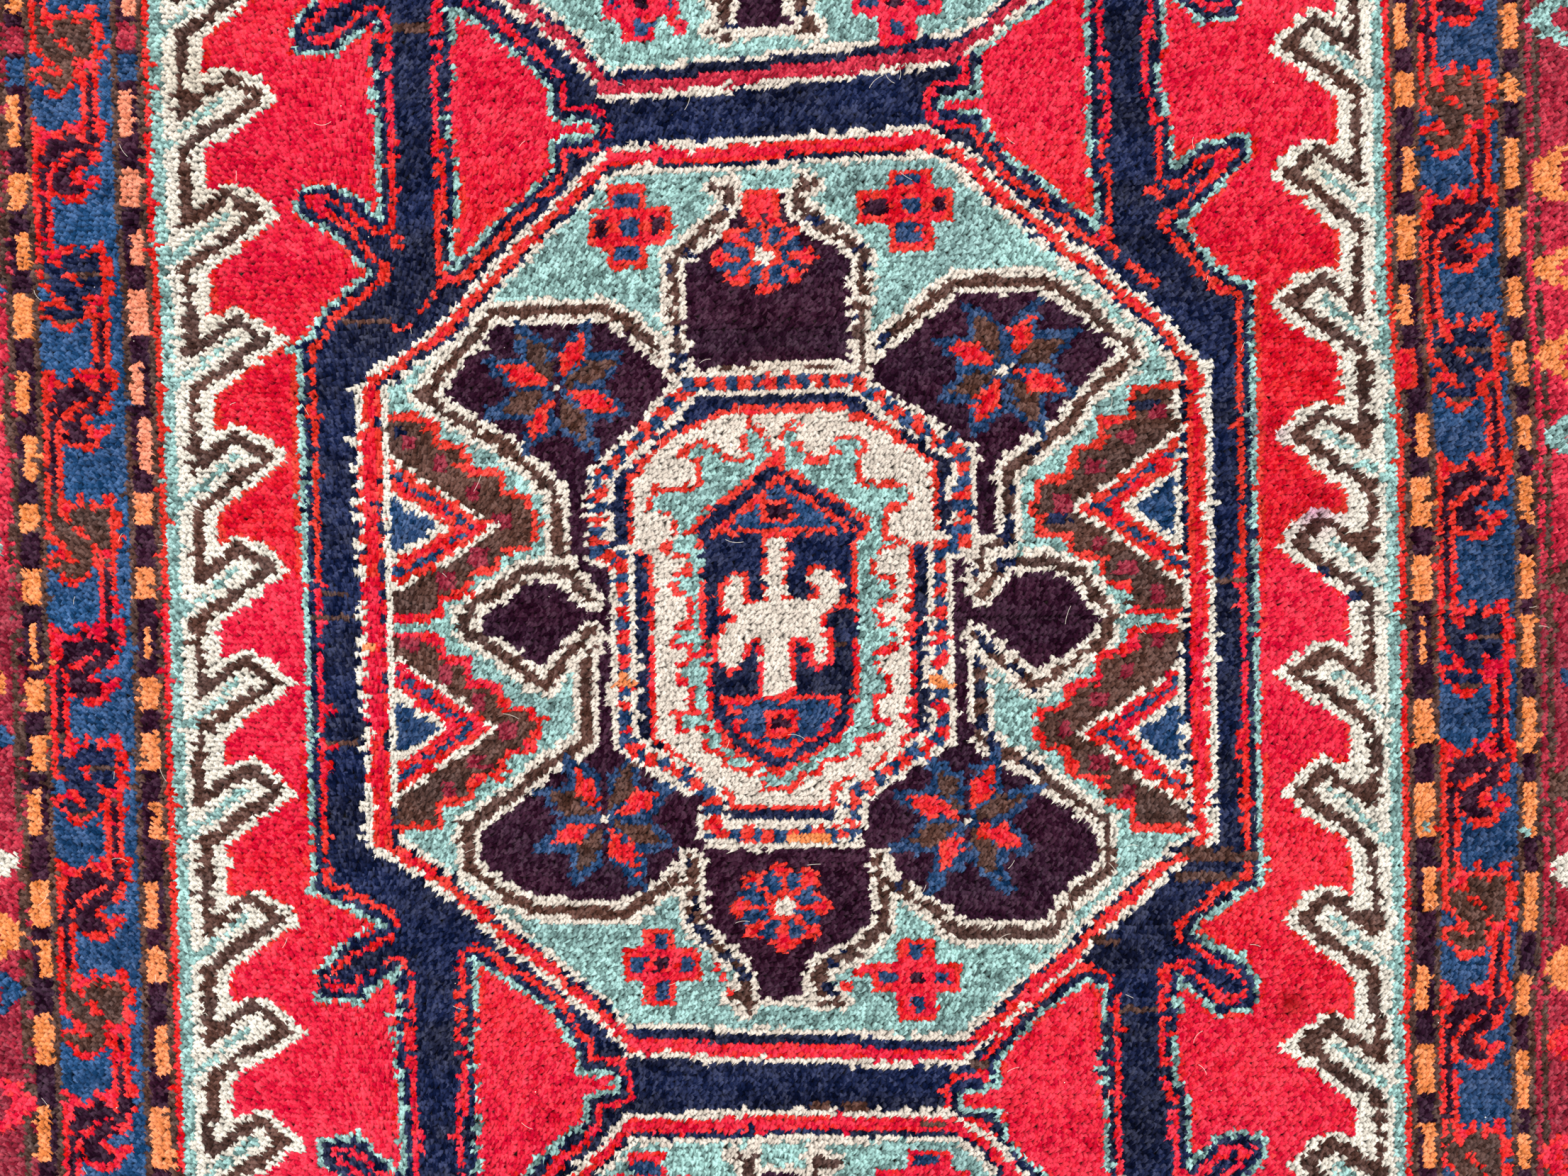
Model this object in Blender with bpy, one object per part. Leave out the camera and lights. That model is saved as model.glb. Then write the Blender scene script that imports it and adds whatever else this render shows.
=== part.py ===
# A cut length from the middle of a hand-knotted wool rug, lying flat with its
# pile up. One woven piece: cotton foundation below, wool pile above.
# Metres, +Z up. X runs along the wefts and Y along the warps. The origin is at
# the middle of the flat underside.

import math

import bmesh
import bpy

LENGTH = 1.000           # across the rug, along the wefts
WIDTH = 0.750            # along the rug, along the warps
THICKNESS = 0.0105       # foundation and pile together
FOUNDATION = 0.0026      # the woven part at the cut edge, under the pile

COLUMN_PITCH = 0.020     # size of the surface's cells along X
ROW_PITCH = 0.015        # and along Y

# The cut edge, from the floor up: how far in from the outline, and how high.
EDGE_PROFILE = [
    {"inset": 0.0012, "height": 0.0},
    {"inset": 0.0006, "height": FOUNDATION},
    {"inset": 0.0000, "height": 0.0062},
    {"inset": 0.0008, "height": 0.0086},
    {"inset": 0.0026, "height": 0.0100},
]
TOP_INSET = 0.0060       # where the cut edge's shoulder meets the pile's top

EDGE_WANDER = 0.0011     # how far the scissors strayed from a straight cut
PILE_SWELL = 0.00045     # long soft rises and falls of the pile
ROW_BOW = 0.0040         # how far a row of knots bows in the middle

# Soft creases where the pile parts between two rows of knots.
# at: place along the warps; start, end: stretch along the wefts.
CREASES = [
    {"at": -0.021, "start": 0.070, "end": 0.185, "depth": 0.0011},
    {"at": -0.018, "start": 0.310, "end": 0.395, "depth": 0.0013},
    {"at": -0.118, "start": -0.330, "end": -0.120, "depth": 0.0006},
    {"at": 0.142, "start": -0.150, "end": 0.090, "depth": 0.0006},
]
CREASE_REACH = 0.0060    # from the bottom of a crease to its shoulder
CREASE_FADE = 0.022      # over which a crease runs out at its ends


def smooth_step(value):
    """Eases from 0 to 1 as the value goes from 0 to 1."""
    value = min(max(value, 0.0), 1.0)
    return value * value * (3.0 - 2.0 * value)


def row_bow(across, along):
    """How far a weft strays along Y: most in the middle, none at the cuts."""
    middle = math.cos(math.pi * across / LENGTH)
    inside = math.cos(math.pi * along / WIDTH)
    return ROW_BOW * middle * inside


def pile_height(across, along):
    """Height of the pile's top over the floor, before the edge's shoulder."""
    swell = (math.sin(7.3 * across + 2.1 * along + 0.4)
             + 0.7 * math.sin(11.9 * along - 3.7 * across + 1.3))
    height = THICKNESS - PILE_SWELL * (1.0 + 0.5 * swell)
    for crease in CREASES:
        away = abs(along - crease["at"]) / CREASE_REACH
        inside = min(across - crease["start"], crease["end"] - across)
        fade = smooth_step(inside / CREASE_FADE)
        height -= crease["depth"] * fade * smooth_step(1.0 - away)
    return height


def edge_wander(across, along):
    """A slow stray of the outline, in X and in Y, from a straight cut."""
    out_x = EDGE_WANDER * math.sin(17.0 * along + 0.6) * 0.5
    out_y = EDGE_WANDER * math.sin(13.0 * across + 1.9) * 0.5
    return out_x, out_y


def add_crease_rows(mesh):
    """Adds rows of edges at the shoulders and the bottom of each crease."""
    for crease in CREASES:
        for offset in (-CREASE_REACH, 0.0, CREASE_REACH):
            # Only the columns that the crease runs through are cut.
            faces = [
                face for face in mesh.faces
                if crease["start"] - COLUMN_PITCH
                < face.calc_center_median().x
                < crease["end"] + COLUMN_PITCH
            ]
            edges = {edge for face in faces for edge in face.edges}
            corners = {corner for face in faces for corner in face.verts}
            bmesh.ops.bisect_plane(
                mesh, geom=faces + list(edges) + list(corners), dist=0.0005,
                plane_co=(0.0, crease["at"] + offset, 0.0),
                plane_no=(0.0, 1.0, 0.0))


def build_top(mesh):
    """The pile's top: a grid of cells inside the edge's shoulder."""
    columns = round(LENGTH / COLUMN_PITCH)
    rows = round(WIDTH / ROW_PITCH)
    bmesh.ops.create_grid(mesh, x_segments=columns, y_segments=rows, size=0.5)
    size = (LENGTH - 2.0 * TOP_INSET, WIDTH - 2.0 * TOP_INSET, 1.0)
    bmesh.ops.scale(mesh, vec=size, verts=mesh.verts)
    add_crease_rows(mesh)


def build_edge(mesh):
    """The cut edge: the rim of the top is taken out and down, step by step."""
    rim = [edge for edge in mesh.edges if edge.is_boundary]
    inset_before = TOP_INSET
    for step in reversed(EDGE_PROFILE):
        out = bmesh.ops.extrude_edge_only(mesh, edges=rim)["geom"]
        rim = [item for item in out if isinstance(item, bmesh.types.BMEdge)]
        corners = {corner for edge in rim for corner in edge.verts}
        # The rim grows by the same amount on all four sides.
        grow_x = (LENGTH / 2 - step["inset"]) / (LENGTH / 2 - inset_before)
        grow_y = (WIDTH / 2 - step["inset"]) / (WIDTH / 2 - inset_before)
        bmesh.ops.scale(mesh, vec=(grow_x, grow_y, 1.0), verts=list(corners))
        for corner in corners:
            corner.co.z = step["height"] - THICKNESS
        inset_before = step["inset"]
    bmesh.ops.edgeloop_fill(mesh, edges=rim)


def lay_on_floor(mesh):
    """Gives the pile its height, bows the rows and strays the outline."""
    for corner in mesh.verts:
        across, along, below = corner.co
        wander_x, wander_y = edge_wander(across, along)
        corner.co.x = across + wander_x
        corner.co.y = along + wander_y + row_bow(across, along)
        if below == 0.0:
            corner.co.z = pile_height(across, along)
        else:
            corner.co.z = THICKNESS + below


def wool_material():
    """Plain wool in the colour of the rug's field."""
    material = bpy.data.materials.new("wool_pile")
    material.use_nodes = True
    shader = material.node_tree.nodes["Principled BSDF"]
    shader.inputs["Base Color"].default_value = (0.62, 0.035, 0.055, 1.0)
    shader.inputs["Roughness"].default_value = 0.95
    shader.inputs["Metallic"].default_value = 0.0
    material.diffuse_color = (0.62, 0.035, 0.055, 1.0)
    return material


def build_rug():
    """The whole cut length as one closed body."""
    mesh = bmesh.new()
    build_top(mesh)
    build_edge(mesh)
    lay_on_floor(mesh)
    bmesh.ops.triangulate(
        mesh, faces=[face for face in mesh.faces if len(face.verts) > 4])
    bmesh.ops.recalc_face_normals(mesh, faces=mesh.faces)
    data = bpy.data.meshes.new("rug")
    mesh.to_mesh(data)
    mesh.free()
    data.shade_smooth()
    data.materials.append(wool_material())
    rug = bpy.data.objects.new("rug", data)
    bpy.context.scene.collection.objects.link(rug)
    return rug


for old in list(bpy.data.objects):
    bpy.data.objects.remove(old)

build_rug()
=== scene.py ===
# Looks of the hand-knotted wool rug: every cut tuft of pile, knotted by the chart, on its woven back.
import math

import bmesh
import bpy
import numpy as np
from mathutils import Matrix


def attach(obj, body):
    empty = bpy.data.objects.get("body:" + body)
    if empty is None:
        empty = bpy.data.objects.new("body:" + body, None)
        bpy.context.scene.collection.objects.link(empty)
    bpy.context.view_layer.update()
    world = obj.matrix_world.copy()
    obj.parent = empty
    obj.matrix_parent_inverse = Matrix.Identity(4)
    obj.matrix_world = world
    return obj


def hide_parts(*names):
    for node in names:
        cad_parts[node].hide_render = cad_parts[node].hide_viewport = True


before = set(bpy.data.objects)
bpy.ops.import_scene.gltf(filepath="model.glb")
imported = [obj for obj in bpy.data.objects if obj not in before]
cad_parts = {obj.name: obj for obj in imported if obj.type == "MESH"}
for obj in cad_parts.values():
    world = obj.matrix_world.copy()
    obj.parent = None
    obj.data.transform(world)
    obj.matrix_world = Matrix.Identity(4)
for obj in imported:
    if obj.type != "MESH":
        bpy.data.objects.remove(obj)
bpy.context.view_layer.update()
scene = bpy.context.scene

weave = {
    "knot": (3.6, 2.7),       # in mm: one knot along the weft, two yarn ends side by side, and one row
    "columns": 147,           # columns each side of the middle, past the cut
    "rows": 154,              # rows each side of the middle, past the cut
    "handWander": 0.25,       # how unevenly the knots were counted, in knots
    "ragged": 0.25,           # and how far single knots stray
    "repeat": (-204, 203),    # rows from the whole medallion to the one below and the one above
    "farRow": 160,            # where the borders' lines end, past the last row
}
yarnNames = ["red", "navy", "blue", "teal", "ivory", "brown", "aubergine", "orange", "burgundy"]
yarnIndex = {name: i for i, name in enumerate(yarnNames)}

columnGrid, rowGrid = np.meshgrid(
    np.arange(-weave["columns"], weave["columns"] + 1, dtype=float),
    np.arange(-weave["rows"], weave["rows"] + 1, dtype=float), indexing="ij")
chart = np.zeros(columnGrid.shape, int)


# smooth noise, -1 to 1, from a few crossed waves
def softNoise(x, y, seed):
    rng = np.random.default_rng(seed)
    total = np.zeros_like(x)
    for _ in range(6):
        angle, phase = rng.uniform(0, 2 * math.pi, 2)
        pitch = rng.uniform(0.6, 1.6)
        total += np.sin((x * math.cos(angle) + y * math.sin(angle)) * pitch + phase)
    return total / 2.6


ragged = np.random.default_rng(7).uniform(-1, 1, (2,) + columnGrid.shape) * weave["ragged"]
wanderK = columnGrid + weave["handWander"] * softNoise(columnGrid / 2.6, rowGrid / 3.2, 3) + ragged[0]
wanderR = rowGrid + weave["handWander"] * softNoise(columnGrid / 3.0, rowGrid / 2.6, 5) + ragged[1]
knotMm, rowMm = weave["knot"]
below, above = weave["repeat"]
farRow = weave["farRow"]


# cells whose middle lies inside an outline of (column, row) points
def inside(points):
    mask = np.zeros(chart.shape, bool)
    for (k0, r0), (k1, r1) in zip(points, points[1:] + points[:1]):
        if r0 == r1:
            continue
        crosses = (r0 > wanderR) != (r1 > wanderR)
        mask ^= crosses & (wanderK < k0 + (wanderR - r0) * (k1 - k0) / (r1 - r0))
    return mask


# each stretch of a line: every knot's distance from it and share of the way along it, and its length, in mm
def stretches(points, closed):
    for (k0, r0), (k1, r1) in zip(points, points[1:] + points[:1] * closed):
        dx, dy = (k1 - k0) * knotMm, (r1 - r0) * rowMm
        px, py = (wanderK - k0) * knotMm, (wanderR - r0) * rowMm
        share = np.clip((px * dx + py * dy) / max(dx * dx + dy * dy, 1e-9), 0, 1)
        yield np.hypot(px - share * dx, py - share * dy), share, math.hypot(dx, dy)


# distance in mm from each knot to a line of (column, row) points
def away(points, closed=False):
    return np.minimum.reduce([distance for distance, _, _ in stretches(points, closed)])


def paint(mask, yarn):
    chart[mask] = yarnIndex[yarn]


def line(points, wide, yarn, closed=False):
    paint(away(points, closed) < wide / 2, yarn)


def shape(points, yarn):
    paint(inside(points), yarn)


def box(k0, k1, r0, r1, yarn):
    paint((columnGrid >= k0) & (columnGrid <= k1) & (rowGrid >= r0) & (rowGrid <= r1), yarn)


# where the brown outlines have knots of navy among them
navyBits = (softNoise(columnGrid * 1.2, rowGrid * 1.0, 41) > 0.35) & (np.abs(wanderK - 12) < 29)
navyBits &= (np.abs(wanderR) < 42) | (np.abs(wanderK) < 17)


# a brown line with an ivory one each side
def corded(points, wide=(14.2, 6.4)):
    line(points, wide[0], "ivory")
    brown = away(points) < wide[1] / 2
    paint(brown, "brown")
    paint(brown & navyBits, "navy")


def shifted(points, dr):
    return [(k, r + dr) for k, r in points]


# navy ring, poles and connectors: the middles of their teal outlines
ring = {
    "teal": 1.45,              # half as wide as the teal outline, in mm
    "red": (5.6, 9.9),         # where the red line inside it starts and ends
    "dashWide": 4.6,
    "left": [(-62.5, -101.5), (-62.5, -81), (-66.4, -85), (-67.9, -87.6), (-74.6, -86.9), (-74.6, -80.5),
        (-70.7, -75), (-64.3, -70.7), (-70.7, -67), (-75, -63.5), (-75, 52), (-77.5, 52), (-73.6, 55.5),
        (-70.7, 61), (-63.8, 68.5), (-68.6, 76), (-75, 82), (-74.6, 87.4), (-69.3, 87.4), (-66.4, 85),
        (-62, 80), (-62, 101.5)],
    "right": [(60.6, -102.5), (60.6, -81.5), (63.6, -84.3), (66.8, -88.6), (72.5, -88), (73, -81.4),
        (70.7, -77.6), (63, -72), (69.3, -65), (74, -62), (74, 60), (70.4, 62.7), (67, 67), (62.9, 73.6),
        (70.7, 81.7), (73.9, 86), (73.6, 90.5), (67, 90.3), (62, 84.6), (61.5, 100.5)],
    "dashes": [
        [(-52, 69.5), (-52.6, 65)], [(-53.6, 63.8), (-55.6, 60.6)], [(-57.4, 57), (-60, 56.2)],
        [(52.2, 69.4), (53.6, 67)], [(55, 65.6), (56.6, 63.8)], [(57.6, 62.6), (58.6, 61.2)],
        [(50.4, 72), (51.2, 70.6)], [(58.4, 80.6), (60.2, 79.4)], [(-60, 76), (-59.6, 73.8)],
    ],
    "gaps": [
        [(-50.4, 69), (-45, 77), (-40, 83), (-35.7, 88.4), (-35, 95.5), (-29, 96), (-28.2, 97.5), (-29, 99),
            (-35, 100), (-35, 107), (-38.6, 112), (-45.7, 120.5), (-50.4, 124.4)],
        [(49.7, 73.5), (44.6, 80), (37, 87.4), (33.4, 94), (32.5, 98), (26.5, 98.6), (26.1, 100.6),
            (31.8, 101.6), (32.5, 111), (40, 118), (45.7, 122), (48.9, 123)],
        [(-50.2, -78.6), (-45.7, -82), (-37.9, -89), (-34, -97), (-33.6, -102), (-28.4, -102.4),
            (-27.9, -105.7), (-33.6, -106.7), (-33.6, -112), (-36.4, -116), (-45, -127), (-50.4, -134)],
        [(48.6, -83), (45.4, -82.5), (37, -91), (32, -99.5), (32, -104.3), (26.3, -105), (26.1, -108.4),
            (32, -109.2), (32.7, -114.8), (37, -120), (44.6, -126), (49, -130)],
    ],
}


def paintRings():
    left, right = [], []
    for dr in (below, 0, above):
        left += shifted(ring["left"], dr)
        right += shifted(ring["right"], dr)
    body = inside(left + right[::-1])
    paint(body, "navy")
    edge = np.minimum(away(left), away(right))
    for gap in ring["gaps"]:
        hole = inside(gap)
        paint(hole, "red")
        body &= ~hole
        edge = np.minimum(edge, away(gap, True))
    paint(body & (edge > ring["red"][0]) & (edge < ring["red"][1]), "red")
    paint(edge < ring["teal"], "teal")
    for dash in ring["dashes"]:
        line(dash, ring["dashWide"], "red")
    # thin fingers of the field that reach into the connectors
    for k0, k1, r in ((-36, -29, 97), (27, 33, 99), (-35, -29, -105), (27, 33, -107)):
        box(k0, k1, r, r + 1, "red")


# octagon medallion: each side's outer edge, and how wide its ivory, red, navy and ivory lines are, in mm
octagon = [
    {"rim": [(-66.6, -54.6), (-67, -20), (-67, 44)], "lines": (3.7, 11.0, 2.4, 3.4)},
    {"rim": [(-67, 44), (-63.8, 47.3), (-53.2, 57), (-51.4, 60), (-44.4, 70), (-36.8, 80), (-28.7, 90),
        (-26, 93.6)], "lines": (2.8, 6.0, 2.1, 3.2)},
    {"rim": [(-26, 93.6), (-4, 94.4), (24.5, 95.4)], "lines": (3.4, 8.4, 2.5, 3.6)},
    {"rim": [(24.5, 95.4), (30.3, 90), (38.2, 80), (47, 70), (56, 60), (61, 54), (67.3, 44)],
        "lines": (2.8, 6.0, 2.1, 3.8)},
    {"rim": [(67.3, 44), (67.3, -54)], "lines": (4.3, 9.4, 2.4, 3.6)},
    {"rim": [(67.3, -54), (60.2, -60), (51.6, -70), (43.6, -80), (34.4, -90), (26.4, -100.2)],
        "lines": (2.8, 6.2, 2.3, 3.2)},
    {"rim": [(26.4, -100.2), (0, -99.6), (-26.4, -98.6)], "lines": (3.4, 7.4, 5.4, 3.4)},
    {"rim": [(-26.4, -98.6), (-32, -90), (-41, -80), (-50, -70), (-58.6, -60), (-66.6, -54.6)],
        "lines": (2.8, 6.2, 2.3, 3.2)},
]


def paintOctagon(dr, redYarn="red", footSlope=0):
    def placed(points):
        return [(k, r + dr + (footSlope * (k + 12) if r < -95 else 0)) for k, r in points]

    body = inside([point for side in octagon for point in placed(side["rim"][:-1])])
    paint(body, "teal")
    nearest = np.full(chart.shape, 1e9)
    which = np.zeros(chart.shape, int)
    for side in octagon:
        ends = np.cumsum(side["lines"])
        depth = away(placed(side["rim"]))
        nearer = depth / ends[-1] < nearest
        which = np.where(nearer, np.searchsorted(ends, depth), which)
        nearest = np.where(nearer, depth / ends[-1], nearest)
    for step, yarn in enumerate(("ivory", redYarn, "navy", "ivory")):
        paint(body & (which == step), yarn)


# lobes round the cartouche
lobes = {
    "upperLeft": [(-15, 46), (-21.4, 53), (-27, 59.8), (-35.7, 59.3), (-44.5, 59), (-53, 47.4), (-56, 42),
        (-48.6, 35), (-44, 31.5), (-39.3, 25.4), (-35.5, 21.4), (-35.3, 7), (-30.4, -2.2)],
    "upperRight": [(14.3, 49), (21.4, 56.5), (28, 62.9), (40.7, 63), (44, 61), (51, 53), (55.7, 47.5),
        (49.3, 39.7), (44, 32), (37.9, 26.3), (35.5, 24), (35.5, 10), (31, 7), (30.7, -2.2)],
    "lowerLeft": [(-30.5, -9), (-31.8, -31.5), (-37, -36), (-44.3, -44), (-50.8, -50), (-50.6, -58.6),
        (-44.3, -65), (-41, -67.3), (-26.4, -68.2), (-19.3, -62), (-15.7, -59)],
    "lowerRight": [(29.6, -10.3), (31, -32), (37.9, -37.5), (44.3, -44), (50, -50), (50, -58.6),
        (44.6, -65), (40.7, -72), (26, -72), (21.4, -67), (14.3, -60)],
    "sideLeft": [(-30.4, -2.2), (-34.5, 4.2), (-40, 4.5), (-44.3, 1), (-48.6, -2.2), (-50.5, -5.5),
        (-49.3, -9), (-44.3, -14), (-41, -17.5), (-38, -20), (-34.3, -13.7), (-30.5, -9)],
    "sideRight": [(30.7, -2.2), (34.5, 4.6), (41, 5), (46.4, 1.6), (51.1, -6.5), (50, -11.8), (44, -17.5),
        (39.3, -21), (32.9, -14.6), (29.6, -10.3)],
}


def paintLobes():
    outline = []
    for name, order in (("upperLeft", 1), ("sideLeft", 1), ("lowerLeft", 1),
                        ("lowerRight", -1), ("sideRight", -1), ("upperRight", -1)):
        outline += lobes[name][::order]
    shape(outline, "aubergine")
    for points in lobes.values():
        corded(points)


# palmettes above and below the cartouche, with their horns
palmettes = {
    "top": {
        "left": [(-16, 46), (-16.2, 69), (-12.9, 73), (-9.3, 77), (-7.5, 81)],
        "right": [(13, 46), (13.2, 69.3), (10, 72.7), (7, 76), (3, 80)],
        "horns": [[(-7.5, 81), (-7.2, 83), (-9.8, 85)], [(-7.5, 82), (-6.8, 85.4)],
            [(2.8, 80), (3.6, 83), (3.4, 85.6)], [(3.6, 83), (6, 84)]],
        "bar": [(-5.5, 82.3), (1.5, 82.3)],
    },
    "foot": {
        "left": [(-15.4, -57), (-15.2, -71), (-12, -75), (-8.5, -79), (-7.6, -82), (-8, -85)],
        "right": [(14, -57), (14.3, -71), (11.4, -75), (7, -77.6), (4.3, -79.8), (3.7, -82), (5, -84.4)],
        "horns": [[(-7.8, -84), (-9.8, -85.8)], [(-7.8, -87), (-7.6, -88)], [(4.2, -87), (7.4, -86.8)]],
        "bar": [(-5.8, -86.5), (2.6, -86.5)],
    },
}


def paintPalmette(part, dr):
    left, right, bar = (shifted(part[key], dr) for key in ("left", "right", "bar"))
    horns = [shifted(horn, dr) for horn in part["horns"]]
    shape(left + bar + right[::-1], "aubergine")
    line(bar, 4, "ivory")
    for horn in horns:
        line(horn, 11.5, "ivory")
    for side in (left, right):
        corded(side, (14.5, 6.8))
    for horn in horns:
        line(horn, 5, "brown")


# a scalloped red flower with eight blue wedges
def rosette(k, r, wide, tall):
    x, y = (wanderK - k) / wide, (wanderR - r) / tall
    turn, out = np.arctan2(y, x), np.hypot(x, y)
    paint(out < 0.94 + 0.1 * np.cos(8 * turn), "red")
    wedge = np.abs((turn / math.pi * 4) % 1 - 0.5) < 0.33
    paint(wedge & (out > 0.32) & (out < 0.8), "blue")
    paint(out < 0.2, "ivory")


# eight petals, red and brown by turns, in a blue outline
def star(k, r, firstRed):
    x, y = (wanderK - k) * knotMm, (wanderR - r) * rowMm
    turns = [math.radians(turn) for turn in (25, 63, 120, 157, 203, 242, 298, 337)]
    for start, slope, end, fall, yarns in ((2, 0.55, 47, 0.43, ("blue", "blue")),
                                           (5, 0.42, 36, 0.48, ("brown", "red"))):
        for n, turn in enumerate(turns):
            along = x * math.cos(turn) + y * math.sin(turn)
            across = np.abs(y * math.cos(turn) - x * math.sin(turn))
            petal = np.minimum((along - start) * slope, (end - along) * fall) - across
            paint((petal > 0) & (along > 0), yarns[(n + firstRed + 1) % 2])
    paint(np.hypot(x, y) < 2.2, "ivory")


# a red cross of five squares: its arms' columns and rows, then its post's
def cross(k0, k1, r0, r1, k2, k3, r2, r3, side="aubergine", heart="blue"):
    box(k0, k1, r0, r1, "red")
    box(k2, k3, r2, r3, "red")
    middle, tall = (r0 + r1) / 2, (r1 - r0) / 2 - 1.9
    box(k0 + 1.2, k2 - 0.6, r0 + 2, r1 - 2, side)
    box(k3 + 0.6, k1 - 1.2, r0 + 2, r1 - 2, side)
    box(k2 + 1.6, k3 - 1.6, middle - tall, middle + tall, heart)
    box(k2 + 1.4, k3 - 1.4, r1 + 0.6, r3 - 1.6, "blue")
    box(k2 + 1.4, k3 - 1.4, r2 + 1.6, r0 - 0.6, "blue")


# nested triangles that stand on the octagon's side
def paintSideTriangle(apex, low, high, edgeK):
    points = [(edgeK, high), apex, (edgeK, low)]
    shape(points, "ivory")
    for inset, yarn in ((2.4, "red"), (7.2, "blue"), (10.0, "red"), (15.8, "ivory"), (19.6, "blue")):
        paint(inside(points) & (away(points) > inset), yarn)


leaves = {
    "leftUpper": [(-62, 37.8), (-55, 37.3), (-54.3, 32), (-50, 31), (-49.3, 26), (-44.4, 25.4), (-44, 20.5),
        (-40, 19.5), (-38.7, 14), (-40, 9.5), (-44, 8.5), (-45, 4.5), (-49.2, 3.5), (-50, -0.5),
        (-53.6, -1.2), (-54.4, -5), (-62, -6)],
    "leftLower": [(-62, -8.4), (-54.3, -9.9), (-53.6, -13.7), (-50, -15), (-49.7, -19.4), (-44.5, -20.2),
        (-44, -24.5), (-40, -25.5), (-39, -29), (-40, -33.5), (-44.5, -34.5), (-45, -38.7), (-49.5, -39.7),
        (-50, -44), (-54.5, -45), (-55, -49.5), (-62, -50.5)],
    "rightUpper": [(62, 40.6), (55, 40), (54.7, 34.2), (50.4, 33.5), (50.2, 28.7), (45.7, 27.8), (45.2, 22),
        (40.8, 21), (39, 15), (40.5, 10.6), (45, 9.6), (45.4, 5.4), (50, 4.6), (50.4, 0), (54.6, -0.8),
        (54.8, -5.8), (62, -6)],
    "rightLower": [(62, -9.2), (54.4, -9.9), (54.4, -14), (49.6, -15), (49.3, -20), (44.3, -21), (44, -25),
        (39.8, -26), (38.9, -30), (40, -34), (44.5, -35), (45, -39.6), (49.4, -40.6), (49.7, -45),
        (54.2, -46), (54.5, -50), (62, -50.5)],
}


leafSpots = {
    "left": [(-58.6, 32), (-53.6, 27.3), (-48.6, 21.6), (-43.8, 15), (-47.9, 7.8), (-53.2, 2.5),
        (-58.9, -10.8), (-53.6, -17.5), (-48.6, -23.2), (-43.8, -29.5), (-49, -36), (-53.6, -42)],
    "right": [(59, 35), (53.8, 30), (48.8, 24), (44, 16.5), (49.5, 8), (54, 3), (58.5, -2.5), (58.6, -12),
        (53.6, -18), (48.8, -24), (43.6, -30), (49, -37), (53.6, -43)],
}
# the triangles in the leaves: apex, lowest and highest row, and the column they stand on
triangles = [((-44.3, 13.5), -0.8, 30, -62), ((-45, -29), -44, -12.7, -62), ((45.4, 15.5), -0.8, 31.6, 62.5),
    ((45.4, -31.3), -47, -15.6, 62.5)]


# brown, stepped and spotted leaves at the octagon's sides, in a red outline
def paintLeaves():
    for name, points in leaves.items():
        shape(points, "brown")
        for k, r in leafSpots["left" if name.startswith("left") else "right"]:
            box(k - 1.2, k + 1.2, r - 1.9, r + 1.9, "burgundy")
        line(points, 4.3, "red")
    line([(-62, -7.3), (-52, -7.3)], 3.6, "teal")
    line([(62, -7.8), (52, -7.8)], 3.6, "teal")
    for apex, low, high, edgeK in triangles:
        paintSideTriangle(apex, low, high, edgeK)
    line([(-62, -45), (-62, 38)], 2.9, "ivory")
    line([(62.4, -47), (62.4, 38)], 2.9, "ivory")


# the cartouche and what lies in it: its field, a hooked line, a house with a roof and a bowl, and a figure
cartouche = [(-29, 24), (-29, 7.6), (-25.5, 6.8), (-25.5, -31.5), (-21.4, -36), (-12, -43), (-12, -51.5),
    (10, -51.5), (10, -43.5), (14.3, -40), (21.4, -33.7), (24.3, -31.5), (24.3, 8), (28.2, 8.6), (28.2, 27),
    (24, 31), (17.9, 36.5), (11.5, 43.2), (-14.2, 43.2), (-20, 34.4), (-26.8, 26.3)]
ivoryField = [(-23.8, 23), (-23.8, 8), (-21.2, 7), (-21.2, -31), (-15, -37.5), (-9.2, -42.5), (-8.8, -46),
    (6.8, -46), (7.4, -42), (13, -38.3), (19.6, -31), (19.6, 8), (23.9, 9), (23.9, 25), (16, 33.5),
    (8, 37.6), (-9, 37.6), (-18, 32)]
hooks = [(-4, -41.5), (-4.6, -38.4), (-9.5, -37.4), (-10, -34.8), (-13.2, -33.6), (-13.6, -29.4),
    (-17.2, -29.6), (-17.2, -26.4), (-14.6, -25.8), (-15, -20.4), (-17, -19.6), (-17, -16.2),
    (-14.2, -15.4), (-14.5, -12.4), (-17.3, -11.8), (-17.3, -8.4), (-14.6, -7.2), (-15.2, -1.4),
    (-17.6, -0.4), (-17.4, 2.6), (-14.8, 3.2), (-15, 6.6), (-19.6, 8), (-17, 10.6), (-17.6, 15.8),
    (-21, 16.4), (-20.6, 20.6), (-13.2, 21.4), (-12.8, 26.4), (-16.4, 28.6), (-13, 31.2), (-10, 29.6),
    (-8.4, 26.6), (-5.2, 26.8), (-6, 31), (-5, 35.4), (-3.2, 33), (-1, 27), (0.3, 27), (0.6, 34), (2.4, 35),
    (2.6, 30.6), (4.6, 26.4), (7, 26.6), (8.6, 31), (11.8, 31.6), (13.4, 29.2), (11.6, 26.6), (11.8, 21.8),
    (19.6, 21), (19.8, 17.4), (15.8, 16.2), (16, 10.6), (18.6, 9), (14.6, 7), (14.6, 2.2), (17.6, 1.2),
    (17.6, -2.2), (14.8, -3.2), (14.8, -7.6), (17.4, -8.4), (17.2, -12.6), (14, -13.6), (14, -17.8),
    (16, -18.6), (15.6, -22), (13.8, -23), (13.8, -27.4), (16, -28.4), (14.8, -31.4), (10.6, -31.6),
    (10.4, -35.4), (6, -36), (5.4, -39), (2.2, -39.4), (0.6, -42.5)]
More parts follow.
